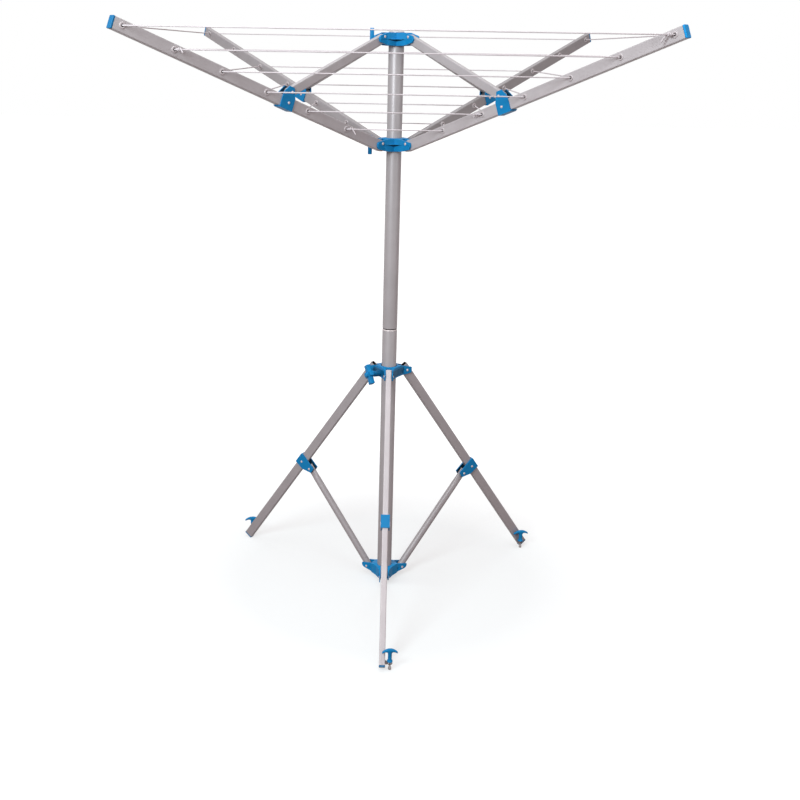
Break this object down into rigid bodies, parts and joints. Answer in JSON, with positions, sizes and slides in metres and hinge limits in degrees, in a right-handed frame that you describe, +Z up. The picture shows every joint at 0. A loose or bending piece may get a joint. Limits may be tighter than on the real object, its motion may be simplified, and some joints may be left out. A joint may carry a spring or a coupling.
{
  "type": "portable rotary clothesline",
  "caption": "Folding rotary clothesline: tube arms on a sliding hub carry square rings of line over a two-part mast on a folding tripod with ground pegs.",
  "frame": {"origin": "centre of the bottom hub's round foot, on the ground, on the mast's axis", "axes": "+Z up the mast; -Y towards leg 1; arm 1 reaches out between +X and +Y"},
  "size_m": [1.1968, 1.1968, 1.5372],
  "materials": {
    "tube": "satin, drawn",
    "moulding": "blue, low gloss",
    "rivet": "bright",
    "steel": "galvanised",
    "line": "smooth white sheath"
  },
  "bodies": {
    "base": {"lower_mast": "tube", "bottom_hub": "moulding"},
    "spigot": {"mast_spigot": "moulding"},
    "head": {"upper_mast": "tube", "top_hub": "moulding", "line_1": "line", "line_2": "line", "line_3": "line", "line_4": "line", "line_5": "line", "line_6": "line"},
    "top_knob": {"top_hub_knob": "moulding"},
    "slider": {"sliding_hub": "moulding", "arm_pin_1": "rivet", "arm_pin_2": "rivet", "arm_pin_3": "rivet", "arm_pin_4": "rivet"},
    "slider_knob": {"sliding_hub_knob": "moulding"},
    "strut_a": {"strut_1": "tube"},
    "strut_b": {"strut_2": "tube"},
    "strut_c": {"strut_3": "tube"},
    "strut_d": {"strut_4": "tube"},
    "arm_a": {"arm_1": "tube", "arm_cap_1": "moulding", "arm_bracket_1": "moulding"},
    "arm_b": {"arm_2": "tube", "arm_cap_2": "moulding", "arm_bracket_2": "moulding"},
    "arm_c": {"arm_3": "tube", "arm_cap_3": "moulding", "arm_bracket_3": "moulding"},
    "arm_d": {"arm_4": "tube", "arm_cap_4": "moulding", "arm_bracket_4": "moulding"},
    "collar": {"leg_collar": "moulding", "leg_pin_1": "rivet", "leg_pin_2": "rivet", "leg_pin_3": "rivet"},
    "collar_clamp": {"collar_knob": "moulding"},
    "stay_a": {"stay_1": "tube"},
    "stay_b": {"stay_2": "tube"},
    "stay_c": {"stay_3": "tube"},
    "leg_a": {"leg_1": "tube", "foot_cap_1": "moulding", "leg_bracket_1": "moulding", "peg_plate_1": "steel"},
    "leg_b": {"leg_2": "tube", "foot_cap_2": "moulding", "leg_bracket_2": "moulding", "peg_plate_2": "steel"},
    "leg_c": {"leg_3": "tube", "foot_cap_3": "moulding", "leg_bracket_3": "moulding", "peg_plate_3": "steel"},
    "peg_a": {"peg_handle_1": "moulding", "peg_spike_1": "steel"},
    "peg_b": {"peg_handle_2": "moulding", "peg_spike_2": "steel"},
    "peg_c": {"peg_handle_3": "moulding", "peg_spike_3": "steel"}
  },
  "joints": [
    {"name": "mast_lift", "type": "slide", "parent": "base", "child": "spigot", "axis": [0, 0, 1], "range_m": [0, 0.12]},
    {"name": "head_spin", "type": "hinge", "parent": "spigot", "child": "head", "pos_m": [0, 0, 0.738], "axis": [0, 0, 1], "continuous": true},
    {"name": "top_knob_turn", "type": "hinge", "parent": "head", "child": "top_knob", "pos_m": [-0.06, 0, 1.504], "axis": [-1, 0, 0], "range_deg": [0, 180]},
    {"name": "head_fold", "type": "hinge", "parent": "head", "child": "strut_a", "pos_m": [0.0379, 0.0379, 1.509], "axis": [-0.7071, 0.7071, 0], "range_deg": [0, 64], "deforming": ["line_1", "line_2", "line_3", "line_4", "line_5", "line_6"]},
    {"name": "arm_a_fold", "type": "hinge", "parent": "strut_a", "child": "arm_a", "pos_m": [0.25145, 0.25145, 1.3745], "axis": [-0.7071, 0.7071, 0], "range_deg": [-128, 0]},
    {"name": "slider_level", "type": "hinge", "parent": "arm_a", "child": "slider", "pos_m": [0.0379, 0.0379, 1.24], "axis": [-0.7071, 0.7071, 0], "range_deg": [0, 64]},
    {"name": "slider_knob_turn", "type": "hinge", "parent": "slider", "child": "slider_knob", "pos_m": [-0.06, 0, 1.235], "axis": [-1, 0, 0], "range_deg": [0, 180]},
    {"name": "strut_b_fold", "type": "hinge", "parent": "head", "child": "strut_b", "pos_m": [-0.0379, 0.0379, 1.509], "axis": [-0.7071, -0.7071, 0], "range_deg": [0, 64]},
    {"name": "strut_c_fold", "type": "hinge", "parent": "head", "child": "strut_c", "pos_m": [-0.0379, -0.0379, 1.509], "axis": [0.7071, -0.7071, 0], "range_deg": [0, 64]},
    {"name": "strut_d_fold", "type": "hinge", "parent": "head", "child": "strut_d", "pos_m": [0.0379, -0.0379, 1.509], "axis": [0.7071, 0.7071, 0], "range_deg": [0, 64]},
    {"name": "arm_b_fold", "type": "hinge", "parent": "slider", "child": "arm_b", "pos_m": [-0.0379, 0.0379, 1.24], "axis": [-0.7071, -0.7071, 0], "range_deg": [-64, 0]},
    {"name": "arm_c_fold", "type": "hinge", "parent": "slider", "child": "arm_c", "pos_m": [-0.0379, -0.0379, 1.24], "axis": [0.7071, -0.7071, 0], "range_deg": [-64, 0]},
    {"name": "arm_d_fold", "type": "hinge", "parent": "slider", "child": "arm_d", "pos_m": [0.0379, -0.0379, 1.24], "axis": [0.7071, 0.7071, 0], "range_deg": [-64, 0]},
    {"name": "tripod_fold", "type": "hinge", "parent": "base", "child": "stay_a", "pos_m": [0, -0.0522, 0.0252], "axis": [-1, 0, 0], "range_deg": [0, 36]},
    {"name": "leg_a_fold", "type": "hinge", "parent": "stay_a", "child": "leg_a", "pos_m": [0, -0.25532, 0.27534], "axis": [-1, 0, 0], "range_deg": [-64.2, 0]},
    {"name": "collar_level", "type": "hinge", "parent": "leg_a", "child": "collar", "pos_m": [0, -0.0522, 0.615], "axis": [-1, 0, 0], "range_deg": [0, 28.2]},
    {"name": "collar_knob_turn", "type": "hinge", "parent": "collar", "child": "collar_clamp", "pos_m": [-0.052, -0.03, 0.613], "axis": [-0.866, -0.5, 0], "range_deg": [0, 180]},
    {"name": "leg_b_fold", "type": "hinge", "parent": "collar", "child": "leg_b", "pos_m": [0.04521, 0.0261, 0.615], "axis": [0.5, -0.866, 0], "range_deg": [-28.2, 0]},
    {"name": "leg_c_fold", "type": "hinge", "parent": "collar", "child": "leg_c", "pos_m": [-0.04521, 0.0261, 0.615], "axis": [0.5, 0.866, 0], "range_deg": [-28.2, 0]},
    {"name": "stay_b_fold", "type": "hinge", "parent": "base", "child": "stay_b", "pos_m": [0.04521, 0.0261, 0.0252], "axis": [0.5, -0.866, 0], "range_deg": [0, 36]},
    {"name": "stay_c_fold", "type": "hinge", "parent": "base", "child": "stay_c", "pos_m": [-0.04521, 0.0261, 0.0252], "axis": [0.5, 0.866, 0], "range_deg": [0, 36]},
    {"name": "peg_a_lift", "type": "slide", "parent": "leg_a", "child": "peg_a", "axis": [0, 0, 1], "range_m": [0, 0.03]},
    {"name": "peg_b_lift", "type": "slide", "parent": "leg_b", "child": "peg_b", "axis": [0, 0, 1], "range_m": [0, 0.03]},
    {"name": "peg_c_lift", "type": "slide", "parent": "leg_c", "child": "peg_c", "axis": [0, 0, 1], "range_m": [0, 0.03]}
  ],
  "couplings": [
    {"joint": "arm_a_fold", "follows": "head_fold", "ratio": -2},
    {"joint": "slider_level", "follows": "head_fold", "ratio": 1},
    {"joint": "strut_b_fold", "follows": "head_fold", "ratio": 1},
    {"joint": "strut_c_fold", "follows": "head_fold", "ratio": 1},
    {"joint": "strut_d_fold", "follows": "head_fold", "ratio": 1},
    {"joint": "arm_b_fold", "follows": "head_fold", "ratio": -1},
    {"joint": "arm_c_fold", "follows": "head_fold", "ratio": -1},
    {"joint": "arm_d_fold", "follows": "head_fold", "ratio": -1},
    {"joint": "leg_a_fold", "follows": "tripod_fold", "ratio": -1.781},
    {"joint": "collar_level", "follows": "tripod_fold", "ratio": 0.781},
    {"joint": "leg_b_fold", "follows": "tripod_fold", "ratio": -0.781},
    {"joint": "leg_c_fold", "follows": "tripod_fold", "ratio": -0.781},
    {"joint": "stay_b_fold", "follows": "tripod_fold", "ratio": 1},
    {"joint": "stay_c_fold", "follows": "tripod_fold", "ratio": 1}
  ]
}
